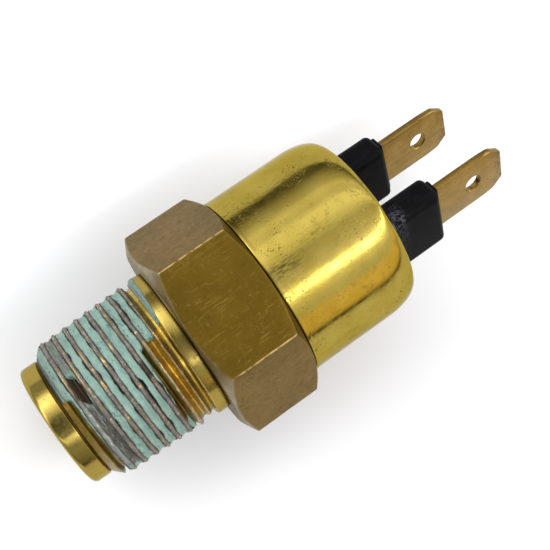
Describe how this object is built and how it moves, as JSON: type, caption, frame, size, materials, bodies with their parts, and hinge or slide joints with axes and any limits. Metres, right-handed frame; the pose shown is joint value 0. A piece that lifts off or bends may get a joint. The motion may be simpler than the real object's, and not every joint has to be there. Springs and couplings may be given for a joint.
{
  "type": "pressure switch",
  "caption": "Brass pressure switch with a tapered pipe thread, a hexagon, a drawn cap and two push-on blade terminals; pressure lifts a sprung contact bridge.",
  "frame": {"origin": "on the switch's axis, in the plane of the hexagon's seat face, where the thread ends", "axes": "+X along the axis from the threaded nose towards the terminals; +Z is the outward normal of one hexagon flat, so the switch lies on the opposite flat; +Y completes the right-handed frame"},
  "size_m": [0.0562, 0.0256, 0.0222],
  "materials": {
    "brass_body": "satin machined brass, browned, with brighter edges",
    "brass_cap": "drawn brass sheet, glossy, lightly pitted",
    "brass_blade": "stamped brass strip, satin",
    "thread_sealant": "dried green-blue anaerobic thread sealant, matt and cracked",
    "plastic_black": "black glass-filled moulding, satin",
    "potting_grey": "light grey casting resin, matt",
    "steel": "turned stainless steel",
    "spring_steel": "drawn spring wire",
    "silver": "silver contact button",
    "rubber": "nitrile ring",
    "polyimide": "amber film diaphragm",
    "plastic_white": "natural nylon"
  },
  "bodies": {
    "housing": {"body": "brass_body", "thread_sealant": "thread_sealant", "cap": "brass_cap", "end_potting": "potting_grey", "header": "plastic_black", "header_seal": "rubber", "terminal_1": "brass_blade", "terminal_2": "brass_blade", "fixed_contact_1": "silver", "fixed_contact_2": "silver", "guide_plate": "steel", "clamp_ring": "steel", "diaphragm": "polyimide", "diaphragm_seal": "rubber", "calibration_spring": "spring_steel"},
    "plunger": {"piston": "steel", "pusher": "plastic_white", "contact_bridge": "brass_blade", "moving_contact_1": "silver", "moving_contact_2": "silver"},
    "adjuster": {"spring_seat": "steel"},
    "set_screw": {"calibration_screw": "brass_blade"}
  },
  "joints": [
    {"name": "piston_travel", "type": "slide", "parent": "housing", "child": "plunger", "axis": [1, 0, 0], "range_m": [0, 0.0005], "stiffness_N_per_m": 3000},
    {"name": "screw_advance", "type": "slide", "parent": "housing", "child": "adjuster", "axis": [1, 0, 0], "range_m": [0, 0.000895]},
    {"name": "screw_turn", "type": "hinge", "parent": "adjuster", "child": "set_screw", "pos_m": [0.0227, 0, 0], "axis": [1, 0, 0], "range_deg": [0, 645]}
  ],
  "couplings": [
    {"joint": "screw_turn", "follows": "screw_advance", "rad_per_m": 12566}
  ]
}
